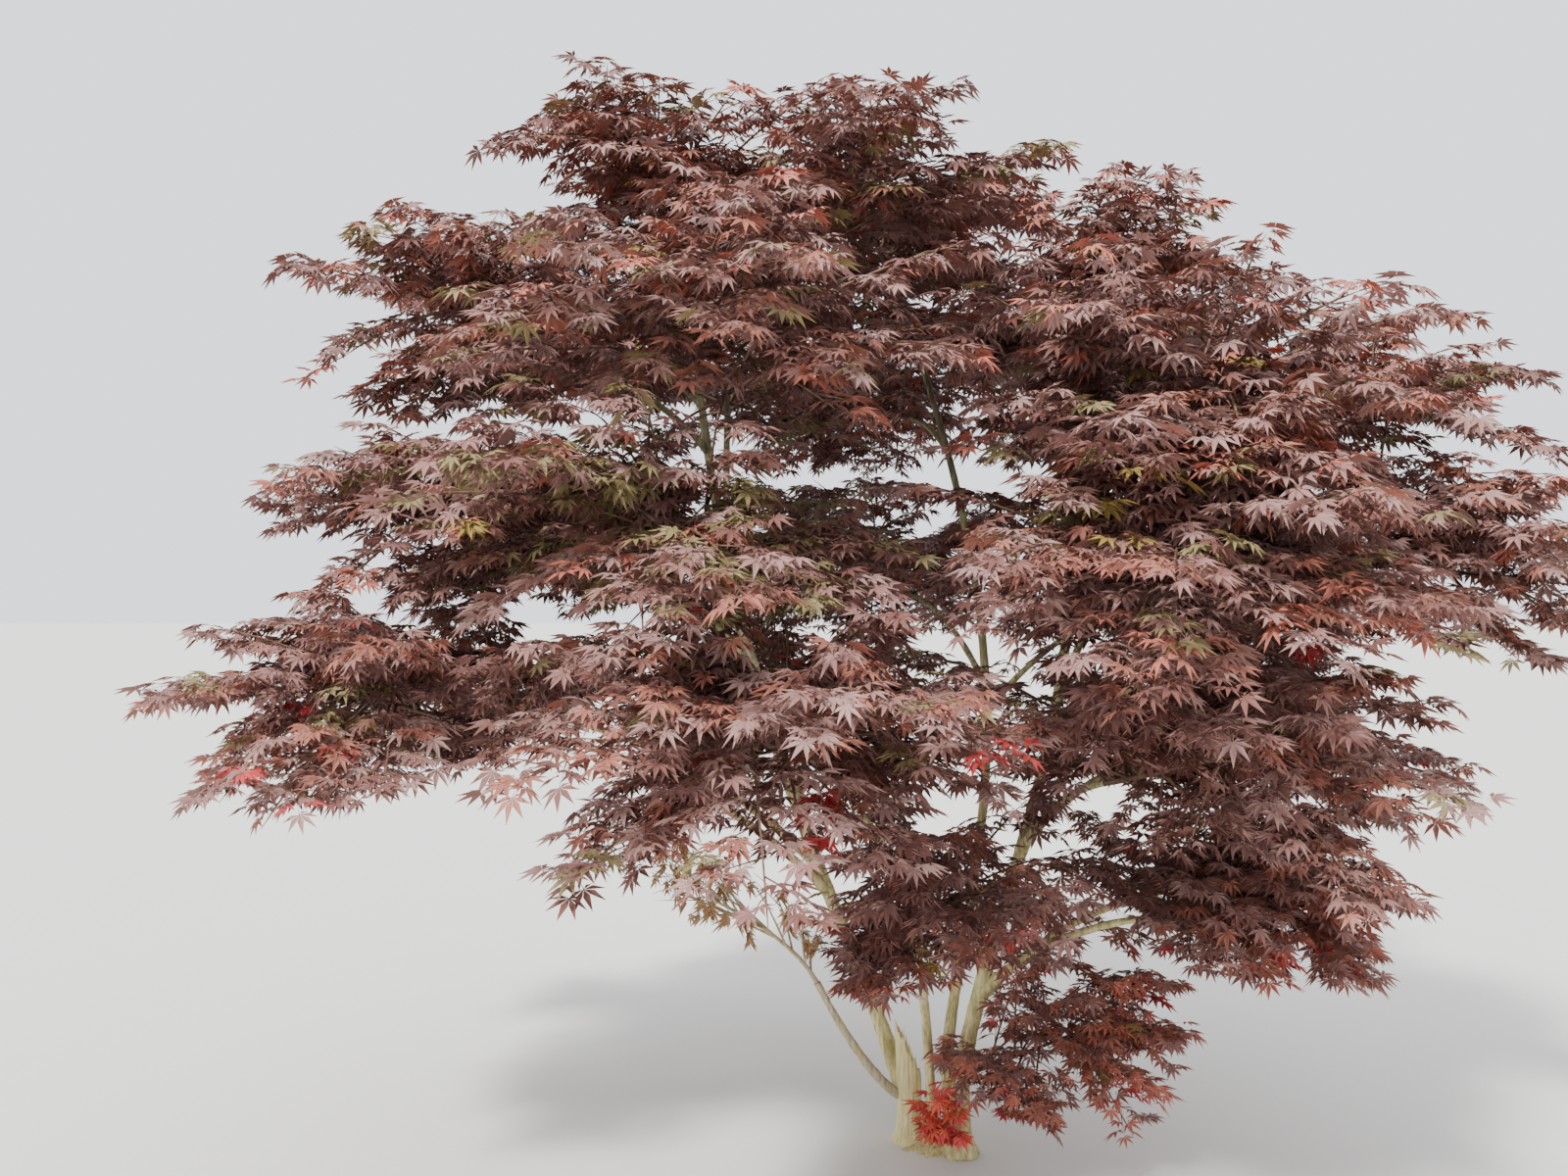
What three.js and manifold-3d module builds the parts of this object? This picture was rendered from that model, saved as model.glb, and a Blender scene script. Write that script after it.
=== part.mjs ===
// A red-leaved maple with palmate leaves, grown as a clump: stems from one root crown, arching boughs,
// and tiers of foliage. Each tier is a ring of masses; a mass is one stem with twigs and broad leaves.
// Millimetres. +Z is up, +X is to the viewer's right and -Y is towards the viewer.
// The origin lies on the flat cut at ground level.
import * as THREE from 'three';
import { mergeVertices } from 'three/addons/utils/BufferGeometryUtils.js';
import Module from 'manifold-3d';

const wasm = await Module();
wasm.setup();

const gap = 0.3; // between two pieces that touch
const speck = { edge: 0.03, height: 0.008 }; // an edge and a triangle's height that are too small to keep
const up = new THREE.Vector3(0, 0, 1);

// The crown is a broad dome that climbs towards the left and the back. Each tier of it has the middle of
// its ring, how far out the ring lies across and deep, how fast it climbs to the left and to the back,
// where its masses stand round it (degrees from +X towards +Y), their half sizes (outwards, sideways and
// upwards) and how many degrees their outer ends dip.
const tiers = [
  { name: 'top', x: -200, height: 2475, climb: [0.37, 0.36], ring: [500, 330],
    azimuths: [180, 92, 352, 262], half: [640, 580, 330], dip: 4, tone: 'bronze' },
  { name: 'upper', x: -100, height: 2140, climb: [0.12, 0.1], ring: [1110, 880],
    azimuths: [350, 42, 96, 150, 200, 246, 298], half: [660, 620, 350], dip: 10, tone: 'red_brown' },
  { name: 'middle', x: -50, height: 1690, climb: [0.06, 0], ring: [1210, 1010],
    azimuths: [340, 40, 95, 148, 196, 240, 288], half: [660, 640, 340], dip: 14, tone: 'purple' },
  { name: 'lower', x: -320, height: 1250, climb: [0.06, 0], ring: [1180, 940],
    azimuths: [14, 96, 160, 206, 262, 310], half: [660, 620, 330], dip: 16, tone: 'purple' },
  { name: 'skirt', x: 320, height: 820, climb: [0, 0], ring: [530, 500],
    azimuths: [232, 318, 20], half: [480, 450, 310], dip: 22, tone: 'purple' },
];

// The stems: where each leaves the ground, how it bends on the way up, and its radius at foot and tip.
// Each ends where it enters the mass that it is named to carry.
const stems = {
  right: { foot: [40, 0, 0], bends: [[-10, 0, 500], [430, 0, 1000]], radius: [25, 9], carries: 'top_3' },
  left: { foot: [-70, 120, 0], bends: [[-150, 190, 430], [-650, 200, 1150]], radius: [24, 9],
    carries: 'top_1' },
  back: { foot: [12, 30, 110], bends: [[-30, 100, 600], [400, 260, 1000]], radius: [17, 8],
    carries: 'top_2' },
  front: { foot: [-30, 50, 60], bends: [[-50, 60, 500], [-90, -60, 800]], radius: [15, 7],
    carries: 'lower_5' },
};

const flare = { wide: 1.15, fade: 70, lobes: 5, depth: 0.16 }; // how the two butts spread at ground level
const buttTop = { right: 0.085, left: 0.075 }; // share of the stem's path that belongs to the root crown
const mound = { x: -18, y: 55, long: 105, broad: 88, high: 48 }; // the swelling that joins the butts

const bough = { rise: 0.55, lowest: 330, share: 0.72, thickest: 16, tip: 8.5, sides: 5, steps: 4 };
const snag = { foot: [-84, 102, 40], top: [-98, 94, 322], radius: [36, 31], teeth: 6, toothDepth: 30 };
const deadLimb = { foot: [-80, 112, 105], bend: [-190, 60, 150], tip: [-345, 20, 455], radius: [15, 9] };
const deadSpray = { centre: [-545, 0, 655], half: [330, 230, 260] };
const sprouts = { centre: [-14, -62, 135], half: [95, 80, 105], root: [-20, 20, 60] };
const foot = { centre: [300, -50, 400], half: [370, 330, 340], stem: 'right', share: 0.1 };

// One leaf stands for a spray, so it is larger than life. Half of its outline, from the base to the tip,
// is the ends of its lobes and the notches between them: how far round from straight ahead, and how far
// out. The lobes droop, the leaf hangs from level to steep, and its midrib stands a little proud.
const leaf = {
  size: 390, outline: [[84, 0.4], [63, 0.25], [42, 0.52], [21, 0.27], [0, 0.58]],
  thick: 0.024, droop: 0.32, pitch: [0.3, 1.1], turn: 0.8, roll: 0.7,
};

// The twig rule: shoots leave a mass's stem in turn to the left, to the right and upwards, from the root
// of the stem to its tip, ever more forward; each is a twig with a leaf at its end.
const rule = {
  shoots: 11, bareFoot: 0.2, fan: [110, 20], rise: 0.25, riserLean: 0.9, longest: 420, shortest: 20,
  stem: [9, 6], twig: [3.5, 2.3], tries: 18,
};

const materials = {
  bark: new THREE.MeshStandardMaterial({ color: 0x8a8260, roughness: 0.85, metalness: 0 }),
  brokenWood: new THREE.MeshStandardMaterial({ color: 0xc4b673, roughness: 0.9, metalness: 0 }),
  deadWood: new THREE.MeshStandardMaterial({ color: 0x9c907a, roughness: 0.9, metalness: 0 }),
  bronze: new THREE.MeshStandardMaterial({ color: 0x6b3a30, roughness: 0.6, metalness: 0 }),
  red_brown: new THREE.MeshStandardMaterial({ color: 0x7a3534, roughness: 0.6, metalness: 0 }),
  purple: new THREE.MeshStandardMaterial({ color: 0x55303a, roughness: 0.6, metalness: 0 }),
  red: new THREE.MeshStandardMaterial({ color: 0xb83226, roughness: 0.55, metalness: 0 }),
};

const vector = (list) => new THREE.Vector3(...list);

// A repeatable stream of numbers from 0 to 1, the same for the same seed.
function seeded(seed) {
  let state = seed >>> 0;
  return () => {
    state = (state + 0x6d2b79f5) | 0;
    let mixed = Math.imul(state ^ (state >>> 15), 1 | state);
    mixed = (mixed + Math.imul(mixed ^ (mixed >>> 7), 61 | mixed)) ^ mixed;
    return ((mixed ^ (mixed >>> 14)) >>> 0) / 4294967296;
  };
}

// A closed geometry as a solid that can be joined and cut.
function solidOf(geometry) {
  geometry.deleteAttribute('normal');
  geometry.deleteAttribute('uv');
  const merged = mergeVertices(geometry, 1e-3);
  return new wasm.Manifold(new wasm.Mesh({
    numProp: 3,
    vertProperties: merged.attributes.position.array,
    triVerts: new Uint32Array(merged.index.array),
  }));
}

// The corners that share a face with one corner.
function neighbours(faces, corner) {
  const near = new Set(faces.filter((face) => face.includes(corner)).flat());
  near.delete(corner);
  return near;
}

// Closes one edge that is shorter than a speck up to a point, or gives null where there is none. Two faces
// that come to lie back to back go with it.
function closeShortEdge(points, faces) {
  for (const face of faces) {
    for (let k = 0; k < 3; k++) {
      const [kept, gone] = [face[k], face[(k + 1) % 3]];
      if (points[kept].distanceTo(points[gone]) > speck.edge) continue;
      const beside = neighbours(faces, gone);
      const shared = [...neighbours(faces, kept)].filter((corner) => beside.has(corner));
      const closed = faces.map((other) => other.map((corner) => (corner === gone ? kept : corner)))
        .filter((other) => new Set(other).size === 3);
      const corners = closed.map((other) => [...other].sort((a, b) => a - b).join());
      const isSingle = (own) => corners.indexOf(own) === corners.lastIndexOf(own);
      const single = closed.filter((_, i) => isSingle(corners[i]));
      if (shared.length === 2 + (closed.length - single.length) / 2) return single;
    }
  }
  return null;
}

const spread = (points, [a, b, c]) => new THREE.Triangle(points[a], points[b], points[c]).getArea();
const edgeLength = (points, face, k) => points[face[k]].distanceTo(points[face[(k + 1) % 3]]);
const longest = (points, face) => Math.max(...[0, 1, 2].map((k) => edgeLength(points, face, k)));
const height = (points, face) => (2 * spread(points, face)) / longest(points, face);

// Turns the long edge of one triangle that is lower than a speck, so that it joins the corners on either
// side of it, or gives null where there is none.
function turnLongEdge(points, faces) {
  for (const face of faces) {
    if (height(points, face) > speck.height) continue;
    const k = [0, 1, 2].find((side) => edgeLength(points, face, side) === longest(points, face));
    const [a, b, c] = [face[k], face[(k + 1) % 3], face[(k + 2) % 3]];
    const isAcross = (other) => other.some((corner, i) => corner === b && other[(i + 1) % 3] === a);
    const across = faces.find(isAcross);
    const d = across.find((corner) => corner !== a && corner !== b);
    const turned = [[a, d, c], [d, b, c]];
    if (neighbours(faces, c).has(d)) continue;
    if (Math.min(...turned.map((other) => height(points, other))) <= height(points, face)) continue;
    return faces.filter((other) => other !== face && other !== across).concat(turned);
  }
  return null;
}

// A solid as a named mesh. Only its largest body is kept: loose scraps and sealed hollows go, and so do
// the specks that are left where pieces were joined.
function meshOf(name, solid, material) {
  const { numProp, numVert, vertProperties, triVerts } = largest(solid).getMesh();
  const points = Array.from({ length: numVert }, (_, i) => (
    new THREE.Vector3(...vertProperties.subarray(i * numProp, i * numProp + 3))));
  let faces = Array.from({ length: triVerts.length / 3 }, (_, i) => (
    [...triVerts.subarray(i * 3, i * 3 + 3)]));
  for (let next = faces; next;) {
    faces = next;
    next = closeShortEdge(points, faces) ?? turnLongEdge(points, faces);
  }
  faces.sort((a, b) => spread(points, b) - spread(points, a)); // the broadest faces come first
  const used = [...new Set(faces.flat())];
  const place = new Map(used.map((corner, i) => [corner, i]));
  const geometry = new THREE.BufferGeometry().setFromPoints(used.map((corner) => points[corner]));
  geometry.setIndex(faces.flat().map((corner) => place.get(corner)));
  geometry.computeVertexNormals();
  const mesh = new THREE.Mesh(geometry, material.clone());
  mesh.name = name;
  return mesh;
}

function largest(solid) {
  return solid.decompose().reduce((best, body) => (body.volume() > best.volume() ? body : best));
}

const join = (solids) => solids.reduce((whole, piece) => whole.add(piece));

// A tapering tube along part of a curve: a cylinder whose rings are carried onto the curve.
// radiusAt(share, angle, height) is in millimetres; a pointed tube ends in a point.
function tube(curve, radiusAt, { sides, steps, from = 0, to = 1, grow = 0, pointed = false }) {
  const geometry = new THREE.CylinderGeometry(pointed ? 0 : 1, 1, 1, sides, steps);
  const frames = curve.computeFrenetFrames(200, false);
  const places = geometry.attributes.position;
  for (let i = 0; i < places.count; i++) {
    const share = from + (places.getY(i) + 0.5) * (to - from);
    const across = Math.hypot(places.getX(i), places.getZ(i)) < 1e-9 ? 0 : 1;
    const angle = Math.atan2(places.getX(i), places.getZ(i));
    const centre = curve.getPointAt(share);
    const step = Math.round(share * 200);
    const radius = across * (radiusAt(share, angle, centre.z) + grow);
    centre.addScaledVector(frames.normals[step], radius * Math.sin(angle));
    centre.addScaledVector(frames.binormals[step], -radius * Math.cos(angle));
    places.setXYZ(i, centre.x, centre.y, centre.z);
  }
  return solidOf(geometry);
}

const taper = ([thick, thin]) => (share) => thick + (thin - thick) * share ** 0.8;

// A space is what one mass keeps to: an ellipsoid, less what lies nearer another mass's centre.
const heightWeight = 2.6; // heights count this much more than distances across, as the masses are flat
const spaces = new Map();
const reseeded = { upper_3: 7, upper_5: 7, middle_1: 7, lower_2: 7 }; // added to these masses' seeds

function addSpace(name, centre, half, azimuth = 0, dip = 0, tone = 'purple') {
  const turn = THREE.MathUtils.degToRad(azimuth);
  const drop = THREE.MathUtils.degToRad(dip);
  const out = new THREE.Vector3(
    Math.cos(turn) * Math.cos(drop), Math.sin(turn) * Math.cos(drop), -Math.sin(drop));
  const side = new THREE.Vector3(-Math.sin(turn), Math.cos(turn), 0);
  const axes = [out, side, new THREE.Vector3().crossVectors(out, side)];
  const seed = 1000 + 77 * spaces.size + (reseeded[name] ?? 0);
  spaces.set(name, { name, centre, half, axes, tone, seed });
}

function isInside(space, point, margin = 4) {
  const offset = point.clone().sub(space.centre);
  const shares = space.axes.map((axis, k) => offset.dot(axis) / (space.half[k] - margin));
  if (shares[0] ** 2 + shares[1] ** 2 + shares[2] ** 2 > 1) return false;
  for (const other of spaces.values()) {
    if (other === space) continue;
    const apart = other.centre.clone().sub(space.centre);
    apart.z *= heightWeight;
    const middle = space.centre.clone().add(other.centre).multiplyScalar(0.5);
    if (point.clone().sub(middle).dot(apart) / apart.length() > -margin) return false;
  }
  return true;
}

for (const tier of tiers) {
  tier.azimuths.forEach((azimuth, k) => {
    const turn = THREE.MathUtils.degToRad(azimuth);
    const x = tier.x + tier.ring[0] * Math.cos(turn);
    const y = tier.ring[1] * Math.sin(turn);
    const z = tier.height - tier.climb[0] * x + tier.climb[1] * y;
    addSpace(`${tier.name}_${k + 1}`, new THREE.Vector3(x, y, z), tier.half, azimuth, tier.dip, tier.tone);
  });
}
addSpace('skirt_foot', vector(foot.centre), foot.half, 350, 25, 'purple');
addSpace('base_sprouts', vector(sprouts.centre), sprouts.half, 270, 0, 'red');
addSpace('dead_spray', vector(deadSpray.centre), deadSpray.half, 180, -20, 'deadWood');

// Where a limb enters a space: as far from its centre, towards the limb, as the space allows.
function entry(space, towards) {
  const inward = towards.clone().sub(space.centre);
  inward.z = Math.min(inward.z, 0);
  for (let reach = 1; reach > 0; reach -= 0.02) {
    const point = space.centre.clone().addScaledVector(inward, reach);
    if (isInside(space, point, 30)) return point;
  }
  return space.centre.clone();
}

const group = new THREE.Group();
const limbs = []; // each limb's curve, and its solid grown by the gap

function addLimb(name, parts, material, curve, radiusAt) {
  const taken = limbs.map((limb) => limb.grown);
  const solid = largest(taken.reduce((rest, other) => rest.subtract(other), parts(0)));
  limbs.push({ name, grown: parts(gap), curve, radiusAt });
  group.add(meshOf(name, solid, material));
}

// The root crown: the flared foot of the right and the left stem, joined by a mound and cut flat.
const stemCurves = {};
for (const [name, stem] of Object.entries(stems)) {
  const last = vector(stem.bends.at(-1));
  const top = entry(spaces.get(stem.carries), last);
  stemCurves[name] = new THREE.CubicBezierCurve3(vector(stem.foot), ...stem.bends.map(vector), top);
}

function flared(radii) {
  const plain = taper(radii);
  return (share, angle, height) => {
    const near = Math.exp(-Math.max(height, 0) / flare.fade);
    return plain(share) * (1 + near * (flare.wide + flare.depth * Math.cos(flare.lobes * angle)));
  };
}

const aboveGround = solidOf(new THREE.BoxGeometry(1200, 1200, 600).translate(0, 0, 300));
addLimb('trunk', (grow) => {
  const butts = ['right', 'left'].map((name) => tube(stemCurves[name], flared(stems[name].radius), {
    sides: 10, steps: 4, to: buttTop[name] + (grow ? 0.0003 : 0), grow,
  }));
  const swelling = new THREE.SphereGeometry(1, 12, 6);
  swelling.scale(mound.long + grow, mound.broad + grow, mound.high + grow).translate(mound.x, mound.y, 0);
  return join([...butts, solidOf(swelling)]).intersect(aboveGround);
}, materials.bark);

for (const [name, stem] of Object.entries(stems)) {
  const curve = stemCurves[name];
  const radiusAt = buttTop[name] ? flared(stem.radius) : taper(stem.radius);
  const start = buttTop[name] ? buttTop[name] + gap / curve.getLength() : 0;
  addLimb(`stem_${name}`, (grow) => tube(curve, radiusAt, { sides: 8, steps: 9, from: start, grow }),
    materials.bark, curve, taper(stem.radius));
}

// The snag: a stem that broke off, with teeth of torn wood that step down to the right.
addLimb('broken_stem', (grow) => {
  const line = new THREE.LineCurve3(vector(snag.foot), vector(snag.top));
  const whole = tube(line, taper(snag.radius), { sides: 10, steps: 1, grow });
  const outline = new THREE.Shape();
  const [left, right] = [snag.top[0] - 26, snag.top[0] + 60];
  const [high, low] = [snag.top[2] - 4, snag.top[2] - 150];
  outline.moveTo(left, high);
  for (let k = 1; k <= snag.teeth; k++) {
    const x = left + ((right - left) * (k - 0.35)) / snag.teeth;
    const z = high + ((low - high) * k) / snag.teeth;
    outline.lineTo(x, z - snag.toothDepth * 0.4);
    outline.lineTo(x + 6, z + snag.toothDepth);
  }
  outline.lineTo(right + 40, low);
  outline.lineTo(right + 40, high + 120);
  outline.lineTo(left, high + 120);
  const tear = new THREE.ExtrudeGeometry(outline, { depth: 160, bevelEnabled: false });
  tear.rotateX(Math.PI / 2).translate(0, snag.top[1] + 80, 0);
  return whole.subtract(solidOf(tear));
}, materials.brokenWood);

const deadCurve = new THREE.QuadraticBezierCurve3(
  vector(deadLimb.foot), vector(deadLimb.bend), vector(deadLimb.tip));
addLimb('dead_limb', (grow) => tube(deadCurve, taper(deadLimb.radius), { sides: 7, steps: 5, grow }),
  materials.deadWood, deadCurve, taper(deadLimb.radius));

// A bough arches from the nearest stem to the space of the mass that it carries.
function boughCurve(space) {
  let best = null;
  for (const stem of limbs.filter((limb) => limb.name.startsWith('stem_'))) {
    for (let share = 0.12; share <= 0.93; share += 0.01) {
      const start = stem.curve.getPointAt(share);
      const far = Math.hypot(space.centre.x - start.x, space.centre.y - start.y);
      const wanted = Math.max(bough.lowest, space.centre.z - bough.rise * far);
      const cost = far + 2.2 * Math.abs(start.z - wanted);
      if (!best || cost < best.cost) best = { cost, start, share, stem };
    }
  }
  const end = entry(space, best.start);
  const bend = best.start.clone().lerp(end, 0.45);
  bend.z = end.z - 0.2 * (end.z - best.start.z);
  const curve = new THREE.QuadraticBezierCurve3(best.start, bend, end);
  const thick = Math.min(bough.share * best.stem.radiusAt(best.share), bough.thickest);
  return { curve, radii: [thick, bough.tip] };
}

const roots = new Map(); // the curve that each mass's stem grows on from
for (const [name, stem] of Object.entries(stems)) roots.set(stem.carries, stemCurves[name]);
roots.set('dead_spray', deadCurve);
for (const space of spaces.values()) {
  if (roots.has(space.name) || ['skirt_foot', 'base_sprouts'].includes(space.name)) continue;
  const { curve, radii } = boughCurve(space);
  addLimb(`bough_${space.name}`,
    (grow) => tube(curve, taper(radii), { sides: bough.sides, steps: bough.steps, grow }),
    materials.bark, curve, taper(radii));
  roots.set(space.name, curve);
}

const grownLimbs = join(limbs.map((limb) => limb.grown));

// A shoot: a three-sided twig that bends at its end and spreads into a palmate leaf. It is a cone whose
// rings are carried to the root, the leaf's base and each pair of points of the leaf's outline.
function shootSolid(root, aim, length, hang, roll, size, radii) {
  const base = root.clone().addScaledVector(aim, length);
  const aside = new THREE.Vector3().crossVectors(aim, up).normalize();
  const across = new THREE.Vector3().crossVectors(hang, up).normalize().applyAxisAngle(hang, roll);
  const over = new THREE.Vector3().crossVectors(across, hang);
  const geometry = new THREE.CylinderGeometry(0, 1, 1, 3, leaf.outline.length + 1);
  const places = geometry.attributes.position;
  for (let i = 0; i < places.count; i++) {
    const ring = Math.round((places.getY(i) + 0.5) * (leaf.outline.length + 1));
    const [x, z] = [places.getX(i), places.getZ(i)];
    const place = (ring ? base : root).clone();
    if (ring < 2) {
      const lift = new THREE.Vector3().crossVectors(aside, aim);
      place.addScaledVector(aside, x * radii[ring]).addScaledVector(lift, z * radii[ring]);
    } else {
      const [angle, reach] = leaf.outline[ring - 2];
      const turn = THREE.MathUtils.degToRad(angle);
      const hand = Math.sign(Math.round(x * 10));
      const onRib = hand === 0 && angle > 0;
      const ahead = onRib ? (0.5 * (ring - 1)) / leaf.outline.length : reach * Math.cos(turn);
      place.addScaledVector(hang, size * ahead);
      place.addScaledVector(across, size * hand * reach * Math.sin(turn));
      const rise = onRib ? leaf.thick - leaf.droop * ahead ** 2 : -leaf.droop * reach ** 2;
      place.addScaledVector(over, size * rise);
    }
    places.setXYZ(i, place.x, place.y, place.z);
  }
  return solidOf(geometry);
}

function verticesInside(space, solid) {
  const { numProp, numVert, vertProperties } = solid.getMesh();
  for (let at = 0; at < numVert * numProp; at += numProp) {
    if (!isInside(space, new THREE.Vector3(...vertProperties.subarray(at, at + 3)))) return false;
  }
  return true;
}

const meets = (a, b) => !a.intersect(b).isEmpty();

// How far a straight line can run inside a space.
function reachFrom(space, start, heading, most) {
  let reach = 0;
  const pointAt = (distance) => start.clone().addScaledVector(heading, distance);
  while (reach < most && isInside(space, pointAt(reach + 12))) reach += 12;
  return reach;
}

function growMass(space, { leafSize = leaf.size, scale = 1, shoots = rule.shoots, rootAt = null } = {}) {
  const random = seeded(space.seed);
  const [out, side, rise] = space.axes;
  const parent = roots.get(space.name);
  const begin = rootAt ?? parent.getPointAt(1).addScaledVector(parent.getTangentAt(1), gap);
  const far = space.centre.clone().addScaledVector(out, space.half[0] * 0.25);
  const heading = parent ? parent.getTangentAt(1) : far.clone().sub(begin).normalize();
  const bend = begin.clone().addScaledVector(heading, begin.distanceTo(far) * 0.45);
  const spine = new THREE.QuadraticBezierCurve3(begin, bend, far);
  const stem = tube(spine, taper(rule.stem.map((radius) => radius * scale)), { sides: 3, steps: 3 });
  const free = rule.shortest * scale; // a twig is inside the stem for less than this
  const grown = [];
  for (let k = 0; k < shoots; k++) {
    const share = THREE.MathUtils.lerp(rule.bareFoot, 1, (k + 0.5) / shoots);
    const start = spine.getPointAt(share);
    const along = spine.getTangentAt(share);
    along.addScaledVector(rise, -along.dot(rise)).normalize();
    for (let attempt = 0; attempt < rule.tries; attempt++) {
      const fan = THREE.MathUtils.degToRad(THREE.MathUtils.lerp(...rule.fan, share));
      const hand = [-1, 1, 0][k % 3];
      const aim = hand
        ? along.clone().applyAxisAngle(rise, hand * fan * (0.75 + 0.5 * random()))
        : rise.clone().addScaledVector(along, rule.riserLean * random());
      const lean = (random() - 0.4) * (hand ? 2 * rule.rise : 1.2);
      aim.addScaledVector(hand ? rise : side, lean).normalize();
      const room = reachFrom(space, start, aim, (rule.longest + leafSize) * scale);
      const length = Math.max((room - 0.5 * leafSize) * (1 - 0.06 * attempt * random()), 1.3 * free);
      const hang = aim.clone().applyAxisAngle(up, leaf.turn * (random() - 0.5));
      hang.z = Math.min(hang.z, 0.3) - THREE.MathUtils.lerp(...leaf.pitch, random());
      hang.normalize();
      const roll = leaf.roll * (random() - 0.5);
      const size = leafSize * (0.92 + 0.16 * random()) * (attempt < rule.tries / 2 ? 1 : 0.8);
      const radii = rule.twig.map((radius) => radius * scale);
      const shoot = shootSolid(start, aim, length, hang, roll, size, radii);
      if (!verticesInside(space, shoot) || meets(shoot, grownLimbs)) continue;
      const freePart = start.clone().addScaledVector(aim, free);
      const clear = shootSolid(freePart, aim, length - free, hang, roll, size, radii);
      if (grown.some((other) => meets(other, clear)) || meets(clear, stem)) continue;
      grown.push(shoot);
      break;
    }
  }
  return join([stem, ...grown]).subtract(grownLimbs);
}

const footRoot = stemCurves[foot.stem].getPointAt(foot.share);
const special = {
  skirt_foot: { rootAt: footRoot, leafSize: 230, scale: 0.7, shoots: 10 },
  base_sprouts: { rootAt: vector(sprouts.root), leafSize: 100, scale: 0.45, shoots: 8 },
  dead_spray: { leafSize: 90, scale: 0.8, shoots: 8 },
};
for (const space of spaces.values()) {
  const solid = growMass(space, special[space.name]);
  const name = space.name === 'dead_spray' ? space.name : `mass_${space.name}`;
  group.add(meshOf(name, solid, materials[space.tone]));
}

export default group;
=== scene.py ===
import math
import bpy
import numpy as np
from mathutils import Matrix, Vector, noise


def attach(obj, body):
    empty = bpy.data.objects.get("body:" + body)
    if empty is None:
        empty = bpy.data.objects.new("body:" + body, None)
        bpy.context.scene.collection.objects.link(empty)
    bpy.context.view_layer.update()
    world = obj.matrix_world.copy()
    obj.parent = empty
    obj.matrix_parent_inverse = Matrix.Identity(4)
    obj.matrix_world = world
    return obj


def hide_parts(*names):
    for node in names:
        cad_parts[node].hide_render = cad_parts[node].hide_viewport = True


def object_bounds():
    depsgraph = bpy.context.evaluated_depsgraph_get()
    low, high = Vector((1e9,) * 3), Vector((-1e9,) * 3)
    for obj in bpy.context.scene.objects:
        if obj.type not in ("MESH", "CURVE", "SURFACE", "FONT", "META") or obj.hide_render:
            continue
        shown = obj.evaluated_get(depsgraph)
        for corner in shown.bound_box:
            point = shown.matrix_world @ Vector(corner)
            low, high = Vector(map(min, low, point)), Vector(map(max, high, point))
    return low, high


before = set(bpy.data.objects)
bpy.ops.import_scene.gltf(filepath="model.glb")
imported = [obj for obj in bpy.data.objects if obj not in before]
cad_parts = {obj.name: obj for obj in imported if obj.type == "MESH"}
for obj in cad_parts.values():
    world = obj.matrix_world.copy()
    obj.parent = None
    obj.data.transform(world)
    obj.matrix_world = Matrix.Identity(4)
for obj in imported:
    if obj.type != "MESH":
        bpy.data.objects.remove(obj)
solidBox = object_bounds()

mm = 0.001 # the growth below is worked out in millimetres
up = np.array([0.0, 0.0, 1.0])


class Wire: # a socket that can be used in sums
    def __init__(self, shade, socket):
        self.shade, self.socket = shade, socket

    def sum(self, operation, first, second):
        return self.shade.node("ShaderNodeMath", {"operation": operation}, {0: first, 1: second})

    def __add__(self, other):
        return self.sum("ADD", self, other)

    def __radd__(self, other):
        return self.sum("ADD", other, self)

    def __sub__(self, other):
        return self.sum("SUBTRACT", self, other)

    def __rsub__(self, other):
        return self.sum("SUBTRACT", other, self)

    def __mul__(self, other):
        return self.sum("MULTIPLY", self, other)

    def __rmul__(self, other):
        return self.sum("MULTIPLY", other, self)


class Shade: # one material, with one method for every node that is not a sum
    def __init__(self, name):
        self.material = bpy.data.materials.new(name)
        self.material.use_nodes = True
        self.nodes = self.material.node_tree.nodes
        self.links = self.material.node_tree.links
        self.body = self.nodes["Principled BSDF"]

    def put(self, socket, value):
        if isinstance(value, Wire):
            self.links.new(value.socket, socket)
        else:
            socket.default_value = value

    def node(self, kind, settings, inputs, out=0):
        made = self.nodes.new(kind)
        for key, value in settings.items():
            setattr(made, key, value)
        for key, value in inputs.items():
            self.put(made.inputs[key], value)
        return Wire(self, made.outputs[out])

    def mix(self, share, first, second):
        return self.node("ShaderNodeMix", {"data_type": "RGBA"}, {0: share, 6: first, 7: second}, 2)

    def spot(self):
        return self.node("ShaderNodeTexCoord", {}, {}, "Object")

    def height(self): # in metres above the ground
        return self.node("ShaderNodeSeparateXYZ", {}, {0: self.spot()}, "Z")

    def grain(self, stretch, size, detail=4.0):
        place = self.node("ShaderNodeVectorMath", {"operation": "MULTIPLY"}, {0: self.spot(), 1: stretch})
        return self.node("ShaderNodeTexNoise", {}, {
            "Vector": place, "Scale": size, "Detail": detail, "Roughness": 0.6}, "Fac")

    def band(self, value, low, high):
        return self.node("ShaderNodeMapRange", {"clamp": True}, {
            "Value": value, "From Min": low, "From Max": high, "To Min": 0.0, "To Max": 1.0})

    def bump(self, height, strength):
        return self.node("ShaderNodeBump", {}, {"Height": height, "Strength": strength, "Distance": 0.004})

    def surface(self, **sockets):
        for name, value in sockets.items():
            self.put(self.body.inputs[name.replace("_", " ")], value)
        return self.material


def tint(text):
    parts = [int(text[k:k + 2], 16) / 255 for k in (0, 2, 4)]
    return (*[c / 12.92 if c <= 0.04045 else ((c + 0.055) / 1.055) ** 2.4 for c in parts], 1.0)


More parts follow.
